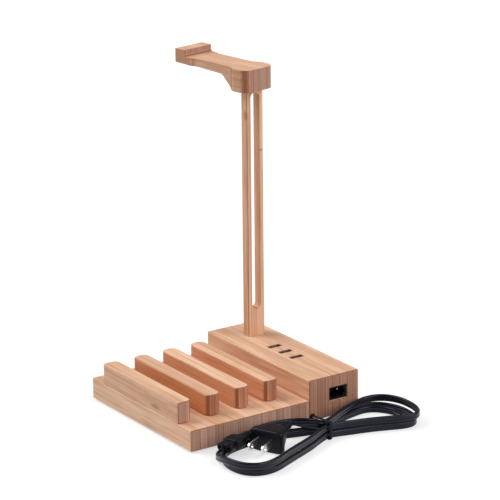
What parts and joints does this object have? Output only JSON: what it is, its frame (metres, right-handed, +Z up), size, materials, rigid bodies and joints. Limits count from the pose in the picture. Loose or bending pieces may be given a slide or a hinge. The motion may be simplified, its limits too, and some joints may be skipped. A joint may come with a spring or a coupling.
{
  "type": "charging station organizer",
  "caption": "Bamboo charging stand with a divided tray, a housing with upright charging ports, and a slotted post with a headphone hanger.",
  "frame": {"origin": "on the surface that the feet stand on, under the middle of the box round the object without its cord", "axes": "+X along the dividers towards the mains inlet, +Y from the front edge to the rear housing, +Z up the post"},
  "size_m": [0.2846, 0.2004, 0.2855],
  "materials": {
    "bamboo": "oiled laminated bamboo",
    "dowel_wood": "turned wood",
    "steel_fasteners": "zinc plated",
    "black_rubber": "moulded",
    "brass": "turned and stamped",
    "nickel_plate": "nickel plated",
    "board_green": "solder mask",
    "black_plastic": "moulded",
    "ferrite": "sintered",
    "yellow_tape": "polyester tape",
    "capacitor_sleeve": "printed sleeve, left bare",
    "capacitor_box": "moulded box",
    "fuse_brown": "moulded",
    "wire_red": "wire insulation",
    "cord_vinyl": "soft vinyl, satin",
    "tie_plastic": "coated tie"
  },
  "bodies": {
    "root": {"base_slab": "bamboo", "divider_1": "bamboo", "divider_2": "bamboo", "divider_3": "bamboo", "divider_4": "bamboo", "divider_screws": "steel_fasteners", "joint_dowels": "dowel_wood", "rear_housing": "bamboo", "bottom_cover": "black_plastic", "cover_screws": "steel_fasteners", "rubber_feet": "black_rubber", "post": "bamboo", "post_insert": "brass", "post_bolt": "steel_fasteners", "post_washer": "steel_fasteners", "hanger_arm": "bamboo", "circuit_board": "board_green", "board_spacers": "steel_fasteners", "board_screws": "steel_fasteners", "port_shell_1": "nickel_plate", "port_shell_2": "nickel_plate", "port_shell_3": "nickel_plate", "port_tongue_1": "black_plastic", "port_tongue_2": "black_plastic", "port_tongue_3": "black_plastic", "port_contacts": "brass", "transformer_core": "ferrite", "transformer_bobbin": "yellow_tape", "input_capacitor": "capacitor_sleeve", "output_capacitors": "capacitor_sleeve", "suppression_capacitor": "capacitor_box", "fuse": "fuse_brown", "bridge_rectifier": "black_plastic", "controller_chip": "black_plastic", "inlet_body": "black_plastic", "inlet_pins": "nickel_plate", "inlet_wires": "wire_red", "connector_body": "cord_vinyl", "connector_sleeves": "brass", "connector_lead": "cord_vinyl", "cord_hank": "cord_vinyl", "cord_tie": "tie_plastic", "plug_lead": "cord_vinyl", "plug_body": "cord_vinyl", "plug_blades": "nickel_plate"}
  },
  "joints": []
}
